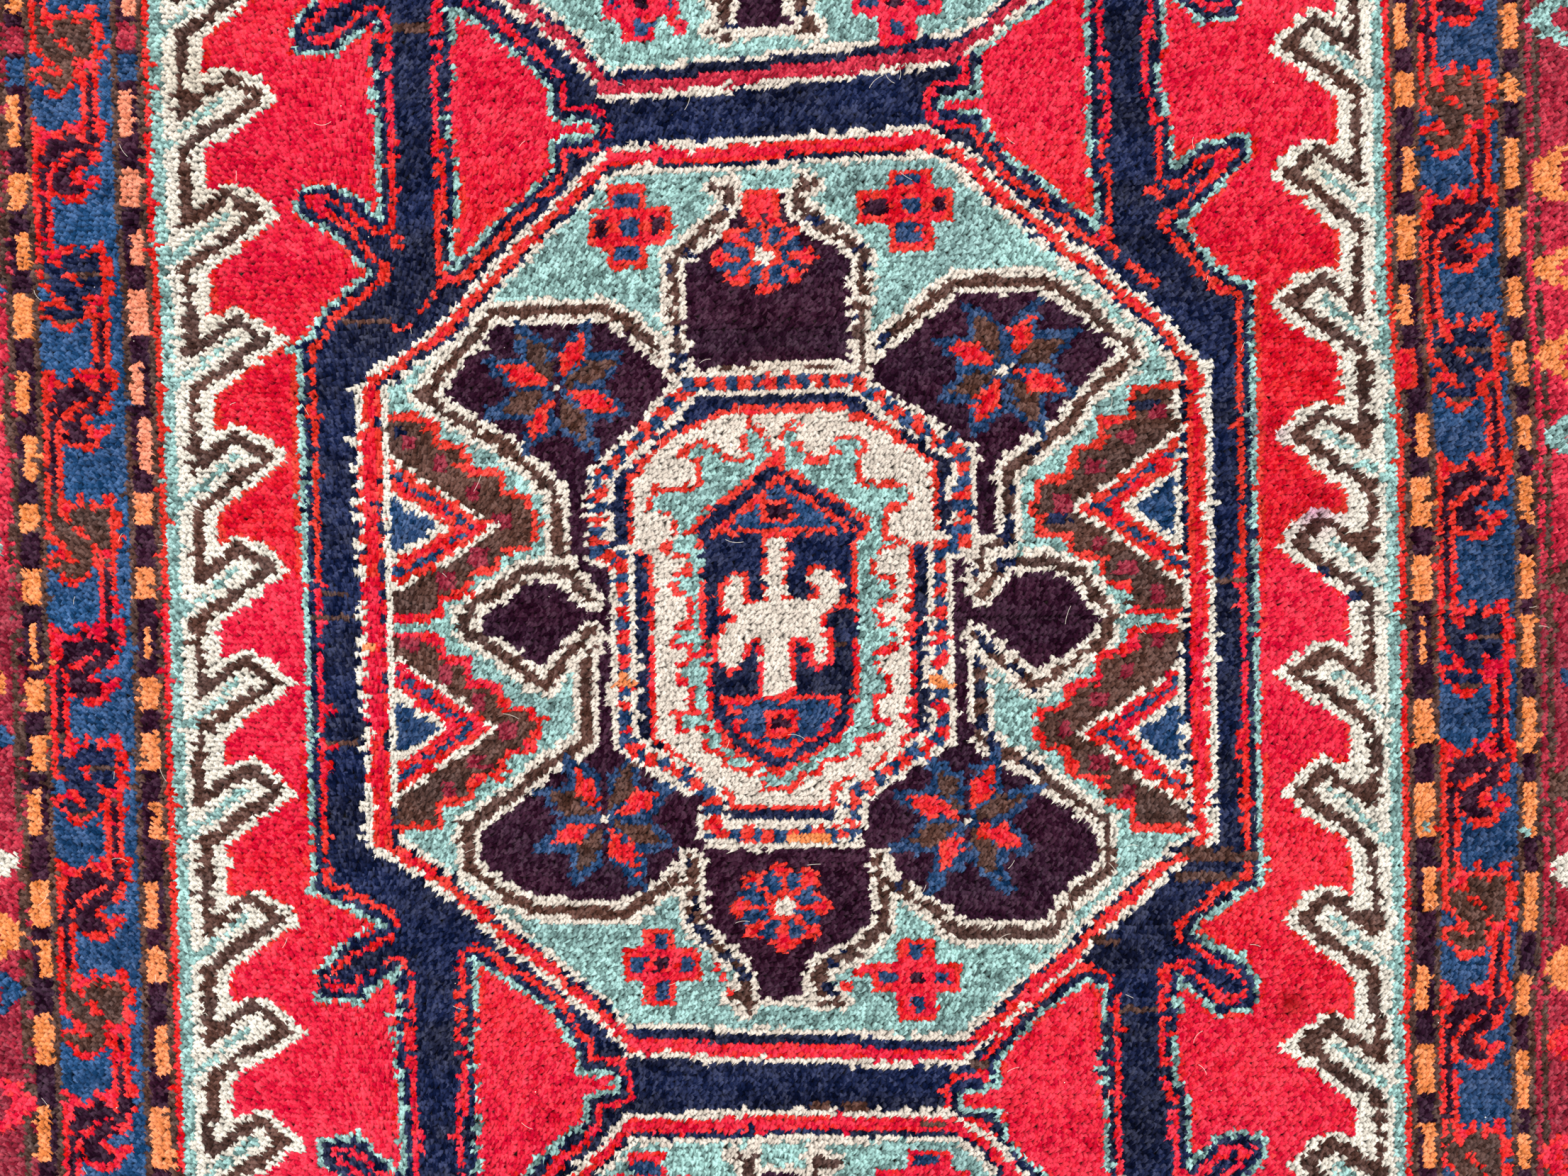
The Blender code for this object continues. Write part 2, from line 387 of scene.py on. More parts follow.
house = [(-2, 26.6), (-8, 20), (-14.6, 12.4), (-12.6, 10), (-12.6, -12), (-12, -27), (-9.6, -32.5),
    (-2, -38.9), (6.4, -33), (10.4, -27.6), (11.2, -20), (11.4, 9), (13.6, 12.6), (6, 20.8)]
figure = [(-2.7, 10.9), (-2.7, -2.7), (-5.7, -3.3), (-6.9, -2.2), (-6.4, 1.4), (-6.8, 2.8), (-8.7, 2.2),
    (-9.7, 0), (-10, -2.7), (-9.5, -4.4), (-7.8, -5.5), (-8.3, -6.9), (-10, -8.3), (-10.4, -10.5),
    (-10.7, -14.9), (-9.5, -16.3), (-7.8, -16), (-6.9, -14.4), (-7, -11.9), (-5.5, -10.2), (-3.9, -10.2),
    (-3.7, -14.4), (-3.6, -22.2), (-2, -22.8), (0.7, -21.9), (0.5, -13.3), (0.3, -10.5), (3.4, -10.5),
    (4.5, -12.4), (3.6, -14.9), (4.7, -16.3), (7, -15.8), (7.2, -13.3), (6.7, -10.5), (5.5, -8.3),
    (5.1, -6.3), (6.7, -4.9), (8.1, -3.3), (8.2, 0.6), (7.2, 2.6), (4.2, 3.5), (3.6, 1.7), (4.7, 0.6),
    (4.9, -2.2), (3.4, -3.3), (0.5, -2.7), (0.1, 0.6), (0.1, 10.6)]


def paintCartouche():
    shape(cartouche, "navy")
    roof = [(-0.7, 23), (-10.6, 11.6), (11, 11.6)]
    bowl = [(-10, -23.5), (8.2, -23.5), (8.2, -26), (5.4, -30.6), (-1.4, -35), (-7.6, -30)]
    for points, ground, wide in ((ivoryField, "ivory", 3.8), (hooks, "teal", 3.2), (house, "navy", 3.4),
                                 (roof, "blue", 3.0), (bowl, "blue", 3.2)):
        shape(points, ground)
        line(points, wide, "red", True)
    for r in (15.9, -28.4):
        box(-3.6, 1.6, r - 2.6, r + 2.6, "red")
        box(-2.4, 0.4, r - 1.3, r + 1.3, "aubergine")
    line(figure, 5.2, "red", True)
    shape(figure, "ivory")
    barber(cartouche)


# a band of short red and blue blocks between two ivory lines
def barber(points):
    best, where, run = np.full(chart.shape, 1e9), np.zeros(chart.shape), 0.0
    for distance, share, length in stretches(points, True):
        nearer = distance < best
        best = np.where(nearer, distance, best)
        where = np.where(nearer, run + share * length, where)
        run += length
    paint(best < 7.4, "ivory")
    band = best < 3.9
    paint(band, "red")
    paint(band & ((where / 13.2) % 1 < 0.45), "blue")
    for k, r in ((-25, -19), (24, -20)):
        paint(band & (np.abs(columnGrid - k) < 1.2) & (np.abs(rowGrid - r) < 1.2), "orange")


# side bands and borders: first and last column, and yarn
bands = [(-147, -121, "burgundy"), (-121, -121, "brown"), (-120, -120, "brown"), (-119, -117, "aubergine"),
    (-116, -116, "brown"), (-115, -103, "blue"), (-102, -102, "brown"), (-101, -99, "aubergine"),
    (-98, -98, "brown"), (-97, -97, "red"), (-96, -95, "teal"), (95, 96, "teal"), (97, 97, "red"),
    (98, 98, "brown"), (99, 101, "aubergine"), (102, 114, "blue"), (102, 102, "brown"), (115, 115, "brown"),
    (116, 117, "aubergine"), (118, 118, "brown"), (119, 119, "burgundy"), (120, 120, "brown"),
    (121, 147, "burgundy")]
# stretches of rows where the guards' small blocks are, top and bottom row
blocks = {
    "leftInner": [(146, 139), (133, 126), (109, 100), (92, 85), (79, 72), (66, 57), (50, 42), (38, 27),
        (22, 16), (6, 0), (-7, -13), (-18, -24), (-30, -37), (-45, -52), (-62, -71), (-77, -83),
        (-93, -103), (-111, -123), (-131, -138), (-145, -151)],
    "leftOuter": [(147, 140), (134, 128), (109, 99), (92, 85), (79, 72), (66, 57), (49, 41), (35, 26),
        (20, 15), (6, -1), (-6, -13), (-15, -15), (-18, -24), (-30, -37), (-43, -51), (-62, -71),
        (-75, -82), (-91, -101), (-111, -122), (-130, -137), (-144, -150)],
    "rightInner": [(145, 138), (131, 123), (116, 108), (102, 96), (87, 79), (73, 65), (59, 52), (33, 25),
        (20, 11), (4, -4), (-8, -17), (-25, -33), (-42, -52), (-59, -67), (-79, -87), (-95, -104),
        (-111, -119), (-127, -134), (-142, -149)],
    "rightOuter": [(146, 138), (131, 123), (115, 107), (101, 96), (88, 79), (74, 65), (60, 53), (32, 26),
        (20, 11), (4, -4), (-8, -18), (-25, -35), (-42, -52), (-60, -71), (-81, -88), (-96, -107),
        (-113, -119), (-127, -134), (-142, -149)],
}
# the blue border's two flowers, a row of knots to a line: r red, a aubergine,
# f the flower's own yarn, k brown, a dot for the blue ground
flowers = {
    "leaning": """r....r.rrfrr. rr...rrrrfrr. rrr.rfrrrfrr. rrrrrffrrffr. rrffffffrffr. rrffffffffr..
                  rrfffffrffr.. rffffrrffrr.. rfffrrfffrr.. rrfrrffffr... rffrfffr..... rfrfffr......
                  rfrfffrr.rr.. rfrffffrrrr.. rfrfffffrr... rfrrffffr.... rfr.rrrrr.... rfr..rrr.....""",
    "open": """rkr..r...rr.. rkrr.r.r.rr.. rfrrrrfrrrr.. rfrrfffrffr.. rfrrffffffrr. rffrffffffrr.
               rfffffffffrr. rkffrrkkkkrr. rffffrffffr.. rrffffrfffrr. .rffffffffrr. ..rffffrffrr.
               ..rrfffrrrr.. rrrrffffrrr.. rffrrffrrkr.. rffffffrrar.. .rfffffrrar.. ..rkkkr.rar..
               ..rrrr..rar.. ...rr...rar..""",
    "stemLeft": "rfr..........",
    "stemRight": "........rfr..",
}
# where each flower's top row is, and the open ones' yarns
borderFlowers = {
    -115: {
        "leaning": [154, 103, 49, -6, -57, -107],
        "open": [(128, "brown"), (77, "navy"), (22, "brown"), (-30, "navy"), (-81, "brown"),
            (-132, "navy")],
    },
    103: {
        "leaning": [129, 79, 25, -33, -82, -136],
        "open": [(154, "navy"), (104, "brown"), (53, "navy"), (-5, "navy"), (-58, "brown"),
            (-110, "brown")],
    },
}
# the rows of the ivory teeth's tips, on the left and on the right
sawTips = {
    -1: [156, 131.5, 106.5, 81.7, 54.6, 29.4, 5.4, -18.9, -42.4, -69.8, -93.5, -117.6, -142.5],
    1: [158, 134, 109.3, 82.9, 56.5, 29.7, 7.5, -18.9, -43.5, -69.5, -95.2, -119.5, -144.5],
}


def chartRow(text, k, r, flowerYarn):
    yarns = {"r": "red", "a": "aubergine", "k": "brown", "f": flowerYarn}
    rowAt = weave["rows"] + r
    if not 0 <= rowAt < chart.shape[1]:
        return
    for step, letter in enumerate(text):
        if letter != ".":
            chart[weave["columns"] + k + step, rowAt] = yarnIndex[yarns[letter]]


def paintBlueBorder(k):
    places = [(top, "leaning", "aubergine") for top in borderFlowers[k]["leaning"]]
    places += [(top, "open", yarn) for top, yarn in borderFlowers[k]["open"]]
    places.sort(reverse=True)
    for n, (top, kind, yarn) in enumerate(places):
        rows = flowers[kind].split()
        for step, text in enumerate(rows):
            chartRow(text, k, top - step, yarn)
        end = places[n + 1][0] if n + 1 < len(places) else -farRow
        stem = "stemLeft" if kind == "leaning" else "stemRight"
        for r in range(top - len(rows), end, -1):
            chartRow(flowers[stem], k, r, "aubergine")


def paintSawteeth(side):
    base = side * 94.6
    teeth = [(base, farRow)]
    for t in sawTips[side]:
        teeth += [(side * 88.6, t + 5.2), (side * 84.5, t + 7.4), (side * 81, t + 5), (side * 77, t),
                  (side * 80, t - 3.2), (side * 88.2, t - 11)]
    teeth += [(side * 88.2, -farRow), (base, -farRow)]
    shape(teeth, "ivory")
    zigzag = []
    for t in sawTips[side]:
        zigzag += [(side * 92, t - 2.2), (side * 85, t + 4.8)]
        zigzag += [(side * 80.2, t + 0.3), (side * 91.8, t - 10.6)]
    line(zigzag, 7.2, "brown")
    for t in sawTips[side]:
        line([(side * 95, t - 10), (side * 85.5, t + 0.4)], 4.4, "teal")


# small flowers on the outer bands, by yarn: column, row and half their height
outerMotifs = {
    "orange": [(-127, 121, 5), (-128, 40, 4), (-128, -18, 4), (-127, -73, 5), (-127, -135, 5), (125, 81, 5),
        (125, 62, 3), (125, 44, 4), (125.5, -79, 5)],
    "ivory": [(-128, 94, 4), (-127, -57, 4), (126, 138, 5), (125.5, -59, 4)],
    "blue": [(-127, 68, 5), (-128, 27, 4), (-128, -30, 3), (-127, -86, 4), (127, -20, 3)],
    "teal": [(-128, 12, 4), (125, 112, 4), (125.5, 28.5, 4), (126, -133, 5)],
    "red": [(-125.5, -110, 5), (126, -94, 3), (125, -117, 4)],
    "brown": [(127, 0, 5), (126, -42, 5)],
}
# single knots and short runs that strayed, by yarn: first and last column, first and last row
touches = {
    "brown": [(-59, -54, 120, 121), (-68, -61, 58, 58), (-74, -68, -5, -5), (-72, -69, 0, 0),
        (-72, -68, -32, -32), (63, 73, -57, -56), (61, 70, -61, -60), (52, 57, -88, -88),
        (48, 49, -73, -73), (3, 5, -109, -108), (8, 11, -109, -108), (68, 72, 0, 0), (20, 23, -112, -112),
        (28, 30, -100, -99), (48, 51, -74, -74), (62, 70, -56, -55), (-9, -8, 46, 46), (-5, -4, 46, 46),
        (4, 5, 46, 46), (7, 8, 46, 46), (-12, -12, -12, -11), (8, 9, -12, -12)],
    "red": [(-12, -12, -80, -79), (-11, -11, -82, -81), (-10, -10, -85, -84), (8, 9, -84, -83),
        (10, 11, -81, -81), (11, 13, -80, -79), (-18, -17, 122, 124), (-15, -14, 117, 119),
        (-16, -16, 119, 121)],
    "aubergine": [(25, 25, -9, -9), (-2, -2, 77, 78)],
    "orange": [(-66, -65, -12, -11), (-115, -115, -14, -14), (0, 6, -53, -52)],
    "navy": [(-60, -59, 34, 35), (56, 58, 36, 37), (42, 44, 13, 14), (84, 85, 1, 2), (89, 90, -4, -3)],
}


def paintBorders():
    for k0, k1, yarn in bands:
        box(k0, k1, -farRow, farRow, yarn)
    line([(-120.6, farRow), (-120.4, -farRow)], 2.6, "burgundy")
    guards = {"leftInner": (-101, -99), "leftOuter": (-119, -117), "rightInner": (99, 101),
              "rightOuter": (116, 117)}
    for name, (k0, k1) in guards.items():
        for n, (top, bottom) in enumerate(blocks[name]):
            wide = k1 - k0 > 1
            box(k0 + (wide and n % 3 == 1), k1 - (wide and n % 4 == 2), bottom, top, "orange")
    box(98, 100, 39, 46, "red")
    box(116, 117, 39, 47, "orange")
    for k, r in ((100, -50), (116, -51)):
        box(k, k, r - 1, r, "teal")
    for k0 in (-101, -119):
        box(k0, k0 + 2, 119, 124, "burgundy")
        box(k0, k0 + 2, 112, 117, "blue")
    for yarn, places in outerMotifs.items():
        for k, r, tall in places:
            across = np.abs(wanderK - k) / 6 + (np.abs(wanderR - r) / (tall + 1.5)) ** 2
            paint(across < 1, yarn)
            paint(across < 0.35, "burgundy")
    for k in (-115, 103):
        paintBlueBorder(k)
    for side in (-1, 1):
        paintSawteeth(side)


def paintInsides():
    paintLobes()
    for dr in (0, above, below):
        paintPalmette(palmettes["foot"], dr)
        paintPalmette(palmettes["top"], dr)
    line([(-13, 46), (10.5, 46.5)], 4.2, "ivory")
    line([(-13, -54), (10.7, -54)], 4.2, "ivory")
    box(-5, 0, 78, 83, "red")
    rosette(-2.1, 69.5, 8.2, 7.9)
    rosette(-1.4, -66.7, 7.8, 9.2)
    for k, r, firstRed in ((-34.9, 43, 1), (35.5, 44.8, 1), (-28.9, -48.3, 0), (27.9, -49, 1)):
        star(k, r, firstRed)
    for dr in (0, below):
        cross(-29.6, -16.2, 73 + dr, 80.4 + dr, -26.4, -20.2, 68 + dr, 85.4 + dr)
        cross(12.4, 27.8, 75.6 + dr, 82.6 + dr, 17.6, 24, 69.8 + dr, 86.8 + dr)
    for dr in (0, above):
        cross(-26.8, -14.6, -82 + dr, -76 + dr, -23.2, -18.2, -87.6 + dr, -71.2 + dr, "blue", "aubergine")
        cross(12.8, 26, -84.6 + dr, -78.4 + dr, 16.8, 22, -90.2 + dr, -73.4 + dr, "blue", "aubergine")
    paintLeaves()
    paintCartouche()


def paintPattern():
    paintRings()
    paintOctagon(above, "burgundy", 0.125)
    paintOctagon(0)
    paintOctagon(below)
    paintInsides()
    paintBorders()
    for yarn, places in touches.items():
        for place in places:
            box(*place, yarn)
    fray()


# here and there a knot takes its neighbour's yarn, as hand-counted knots do
def fray():
    rng = np.random.default_rng(17)
    chance = rng.uniform(0, 1, chart.shape)
    before = chart.copy()
    start = 0.0
    for axis, step, share in ((0, 1, 0.022), (0, -1, 0.022), (1, 1, 0.012), (1, -1, 0.012)):
        swap = (chance >= start) & (chance < start + share)
        chart[swap] = np.roll(before, step, axis)[swap]
        start += share


# the rug as it lies, in metres
rug = {
    "length": 1.000,          # across, along the wefts
    "width": 0.750,           # up the rug, along the warps
    "pileTop": 0.0104,
    "edgeWander": 0.00055,    # how far the scissors strayed, in x and in y
    "rowBow": 0.0040,         # how far a row of knots bows in the middle
    "swell": 0.00045,         # long soft rises and falls of the pile
    "creaseReach": 0.0036,    # from a crease's bottom to its shoulder
    "creaseFade": 0.022,      # over which it runs out at its ends
    # where the pile parts: place up the rug, start and end across it, depth
    "creases": [(-0.021, 0.070, 0.185, 0.00165), (-0.018, 0.310, 0.395, 0.00195),
                (-0.118, -0.330, -0.120, 0.0009), (0.142, -0.150, 0.090, 0.0009)],
}


def ease(value):
    value = np.clip(value, 0, 1)
    return value * value * (3 - 2 * value)


# where a knot lies: the loom's columns lean and its rows slope a little
def onRug(k, r):
    u, v = k * knotMm, r * rowMm
    x = u - (0.021 - 0.000015 * u) * v
    y = v + (0.015 + 0.00009 * v) * u
    # the side bands wander at the upper right, the lower right and the upper left
    x -= 7.0 * np.exp(-((u - 385) / 60) ** 2) * np.clip((v - 80) / 80, 0, 1)
    x -= 5.2 * np.clip((u - 335) / 80, 0, 1) * np.clip((-v - 180) / 50, 0, 1.15)
    x -= 2.7 * np.exp(-((u + 360) / 60) ** 2) * np.clip((v - 170) / 60, 0, 1)
    return x / 1000, y / 1000


# height of the pile's top over the floor
def pileTopAt(x, y):
    bow = rug["rowBow"] * np.cos(math.pi * x / rug["length"]) * np.cos(math.pi * y / rug["width"])
    along = y - bow
    swell = np.sin(7.3 * x + 2.1 * along + 0.4) + 0.7 * np.sin(11.9 * along - 3.7 * x + 1.3)
    height = rug["pileTop"] - rug["swell"] * (1 + 0.5 * swell)
    for at, start, end, depth in rug["creases"]:
        fade = ease(np.minimum(x - start, end - x) / rug["creaseFade"])
        height -= depth * fade * ease(1 - np.abs(along - at) / rug["creaseReach"])
    return height


# how the cut strays from straight, in x and in y
def edgeStray(x, y):
    return rug["edgeWander"] * np.sin(17 * y + 0.6), rug["edgeWander"] * np.sin(13 * x + 1.9)


# how far a point lies inside the cut
def insideCut(x, y):
    outX, outY = edgeStray(x, y)
    return np.minimum(rug["length"] / 2 - np.abs(x - outX), rug["width"] / 2 - np.abs(y - outY))


pile = {
    "nap": 48,                 # the way the pile lies, in degrees: to the upper right,
    "napTurn": 92,             # and on the far left this much further round
    "napSway": (0.30, 0.24, 0.16),   # and how it sways: broadly, closely, end by end, in radians
    "ridge": 0.00120,          # half the length of a cut end's top
    "rootLong": 0.00212,       # half the length and width of its root,
    "rootWide": 0.00146,       # which reaches under its neighbours
    "sink": 0.0014,            # how far the root lies below the top
    "tilt": 0.00020,           # how much higher the tip of an end is
    "stray": 0.00052,          # how far an end stands from the even count
    "clump": 0.0007,           # how far neighbours lean together
    "clumpPitch": 0.0050,
    "clumpRise": 0.00035,
    "ruffle": 0.00020,         # end to end, up and down
    "uneven": 0.24,            # how much one end differs in size from the next
    "ivoryRise": 0.00025,      # ivory stands a little over the dyed yarns
    "shoulder": (0.0060, 0.0014),    # how wide and how deep the pile falls off at the cut
    "highest": 0.0112,
    "inCut": 0.0014,           # no end stands nearer to the cut than this,
    "nearCut": 0.0040,         # and roots nearer than this go down to the foundation
    "rootAtCut": 0.0024,
    "hairs": (1.7, 0.25),      # loose fibres on an end where two yarns meet, and on any other
    "hairWide": 0.00026,       # their width and their length
    "hairReach": (0.0009, 0.0021),
    "hairPlace": (0.0008, 0.0004),   # how far it starts from its end, and its tip above or below it
    "seed": 11,
}


# one cut end of yarn: a bead with a short ridge, open below
def makeGrainShape():
    mesh = bmesh.new()
    bmesh.ops.create_cube(mesh, size=2.0)
    bottom = [face for face in mesh.faces if face.normal.z < -0.5]
    bmesh.ops.delete(mesh, geom=bottom, context="FACES_ONLY")
    for end in (-1, 1):
        pair = [corner for corner in mesh.verts if corner.co.z > 0 and corner.co.y * end > 0]
        bmesh.ops.pointmerge(mesh, verts=pair, merge_co=(0, end, 1))
    pair = [corner for corner in mesh.verts if corner.co.z < 0 and corner.co.y < 0]
    bmesh.ops.pointmerge(mesh, verts=pair, merge_co=(0, -1.6, -1))
    for corner in mesh.verts:
        if corner.co.z < 0:
            corner.co.x *= 1.6
    mesh.verts.index_update()
    corners = np.array([corner.co for corner in mesh.verts])
    faces = [[corner.index for corner in face.verts] for face in mesh.faces]
    mesh.free()
    return corners, faces


# noise over the rug, -1 to 1, its lumps about one pitch wide
def lumps(x, y, pitch, seed):
    values = np.random.default_rng(seed).uniform(-1, 1, (512, 512))
    gx, gy = x / pitch + 250, y / pitch + 250
    ix, iy = np.floor(gx).astype(int), np.floor(gy).astype(int)
    fx, fy = ease(gx - ix), ease(gy - iy)
    low, high = (values[ix % 512, (iy + up) % 512] * (1 - fx) + values[(ix + 1) % 512, (iy + up) % 512] * fx
                 for up in (0, 1))
    return low * (1 - fy) + high * fy


# the red's dye lots: 0 scarlet to 1 crimson, by row on the left, in the middle and on the right
dyeLots = {
    "rows": [-154, -123, -95, -60, -45, -30, -15, 0, 8, 25, 45, 60, 80, 100, 123, 154],
    "left": [1.0, 1.1, 0.9, 0.5, 0.7, 0.9, 1.1, 1.1, 0.3, 0.2, 0.35, 0.3, 0.8, 0.85, 0.7, 0.6],
    "middle": [0.8, 0.8, 0.7, 0.3, 0.3, 0.6, 0.7, 0.4, 0.1, 0.1, 0.15, 0.2, 0.3, 0.9, 0.9, 0.8],
    "right": [0.9, 0.9, 0.7, 0.5, 0.6, 0.8, 0.9, 0.8, 0.25, 0.05, 0.0, 0.15, 0.6, 0.7, 0.8, 0.8],
    # where the red field is paler or, below zero, duller
    "fieldLightnessRows": [-127, -91, -55, -37, 0, 35, 71, 107],
    "fieldLightness": [0.1, 0.05, 0, -0.12, -0.08, -0.28, -0.18, 0],
}


def dyeLot(k, r):
    sides = ("left", "middle", "right")
    left, middle, right = (np.interp(r, dyeLots["rows"], dyeLots[side]) for side in sides)
    toLeft, toRight = np.clip((-k - 45) / 35, 0, 1), np.clip((k - 45) / 35, 0, 1)
    lot = middle * (1 - toLeft - toRight) + left * toLeft + right * toRight
    return lot + 0.12 * lumps(k * 0.0036 * 0.15, r * 0.0027, 0.009, 21)


# wear, spills and, below zero, dye that ran: column, row, reach in knots and strength
marks = [
    (78.4, -86.6, 2.6, 0.9), (84, 82, 4, 0.25), (-90, 112, 9, 0.28), (-86, 84, 8, 0.22), (-88, 60, 7, 0.15),
    (0, 46, 12, 0.2), (76.3, 31.5, 3.4, -0.75), (83.5, 14.5, 4.2, -0.85), (76, 9.5, 3, -0.3),
]


def soilAt(k, r):
    soil = np.zeros(np.shape(k))
    for markK, markR, reach, strength in marks:
        out = np.hypot(k - markK, (r - markR) * 0.75) / reach
        soil += strength * np.exp(-out * out * 1.6)
    return soil


# every cut end of the rug: its knot, its yarn and dye, and how it lies
def layPile():
    rng = np.random.default_rng(pile["seed"])
    k = (columnGrid[..., None] + np.array([-0.25, 0.25])).ravel()
    row, yarn = np.repeat(rowGrid.ravel(), 2), np.repeat(chart.ravel(), 2)
    x, y = onRug(k, row)
    keep = insideCut(x, y) > pile["inCut"]
    k, row, yarn, x, y = (part[keep] for part in (k, row, yarn, x, y))
    count = len(x)
    ofYarn = {name: yarn == index for name, index in yarnIndex.items()}
    broad, close, single = pile["napSway"]
    turn = math.radians(pile["nap"]) + math.radians(pile["napTurn"]) * ease((-k - 50) / 35)
    turn += broad * lumps(x, y, 0.10, 31) + close * lumps(x, y, 0.016, 32) + rng.normal(0, single, count)
    wide, deep = pile["shoulder"]
    shoulder = ease(1 - insideCut(x, y) / wide)
    leanX, leanY = (pile["clump"] * lumps(x, y, pile["clumpPitch"], seed) for seed in (33, 34))
    x = x + rng.normal(0, pile["stray"], count) * (1 - shoulder)
    y = y + rng.normal(0, pile["stray"], count) * (1 - shoulder)
    rise = rng.normal(0, pile["ruffle"], count)
    top = pileTopAt(x, y) + rise + pile["clumpRise"] * lumps(x, y, pile["clumpPitch"], 35)
    top += np.where(ofYarn["ivory"], pile["ivoryRise"], 0) - deep * shoulder
    # how many knots round about, with its own, are of an end's yarn
    alike = sum(np.roll(chart, (dk, dr), (0, 1)) == chart for dk in (-1, 0, 1) for dr in (-1, 0, 1))
    alike = np.repeat(alike.ravel(), 2)[keep]
    lot = 0.5 + 0.8 * lumps(x * 0.3, y, 0.014, 40)
    lot = np.where(ofYarn["red"] | ofYarn["burgundy"], dyeLot(k, row), lot) + rng.uniform(-0.22, 0.22, count)
    # red lines are vermilion, more so in the middle, and the field is scarlet to crimson and duller by place
    # the red field is made paler, or below zero duller and more crimson, row by row, less so towards the
    # middle
    fieldLightness = np.interp(row, dyeLots["fieldLightnessRows"], dyeLots["fieldLightness"]) * np.clip((np.abs(k) - 20) / 50, 0.4, 1)
    ofLine = np.where(np.abs(k) < 95, 0.08 + 1.05 * lot * lot, 0.15 + 0.50 * lot * lot)
    ofField = 0.55 + 0.5 * lot - 0.6 * np.minimum(fieldLightness, 0)
    # the side bands' ivory is whiter and the left one's blocks are paler; burgundy is deep inside the bands
    leftBlocks = np.where((k < 0) & (k > -110), np.clip((row - 12) / 16, 0.3, 0.9), 0.15)
    for name, where, value in (("red", True, np.where(alike < 7, ofLine, ofField)),
                               ("ivory", True, np.clip((np.abs(k) - 35) / 35, 0, 1)),
                               ("blue", True, np.where(k < -95, 0.35, -0.15) + 0.5 * lot),
                               ("burgundy", np.abs(k) < 90, np.where(row > 90, 0.35, 1.0)),
                               ("orange", True, leftBlocks)):
        lot = np.where(ofYarn[name] & where, value, lot)
    shade = 0.16 * lumps(x, row * 0.0027, 0.0045, 36)
    shade += np.where(ofYarn["red"], 0.22, 0.11) * lumps(x * 0.4, y, 0.022, 38)
    shade += np.where(ofYarn["red"], fieldLightness, 0)
    return {"k": k, "row": row, "x": x, "y": y, "yarn": yarn, "turn": turn,
            "leanX": leanX, "leanY": leanY,
            "top": np.minimum(top, pile["highest"]), "lot": lot, "soil": soilAt(k, row), "meets": alike < 8,
            "fleck": np.clip(rng.uniform(0, 1, count) + shade, 0, 1),
            "big": 1 + rng.uniform(-1, 1, count) * pile["uneven"]}


# loose fibres that stand out of the cut ends, a thin triangle each
def makeHairs(part):
    count = len(part["x"])
    rng = np.random.default_rng(count)
    each = np.where(part["meets"].ravel(), *pile["hairs"]) + rng.uniform(0, 1, count)
    owner = np.repeat(np.arange(count), each.astype(int))
    x, y, top = (part[key].ravel()[owner] for key in ("endX", "endY", "top"))
    size = len(owner)
    turn = rng.uniform(0, 2 * math.pi, size)
    reach = rng.uniform(*pile["hairReach"], size)
    aside, apart = pile["hairPlace"]
    startX, startY = x + rng.uniform(-aside, aside, size), y + rng.uniform(-aside, aside, size)
    towardX, towardY = np.cos(turn), np.sin(turn)
    half = pile["hairWide"] / 2
    tip = top + rng.uniform(-apart, apart, size)
    corners = [(startX + towardY * half, startY - towardX * half, top - 0.0001),
               (startX + towardX * reach, startY + towardY * reach, tip),
               (startX - towardY * half, startY + towardX * half, top - 0.0001)]
    return owner, np.stack([np.stack(corner, axis=-1) for corner in corners], axis=1)


def setAttribute(mesh, name, values):
    mesh.attributes.new(name, "FLOAT", "POINT").data.foreach_set("value", values.astype(np.float32))


def toMesh(name, shaped):
    mesh = bpy.data.meshes.new(name)
    shaped.to_mesh(mesh)
    shaped.free()
    return mesh


# a piece of the rug, in place on its CAD body
def addPiece(name, mesh, material):
    piece = bpy.data.objects.new(name, mesh)
    scene.collection.objects.link(piece)
    mesh.materials.append(material)
    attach(piece, "root")
    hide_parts("rug")
    print(name, len(mesh.loops) - 2 * len(mesh.polygons), "triangles")
    return piece


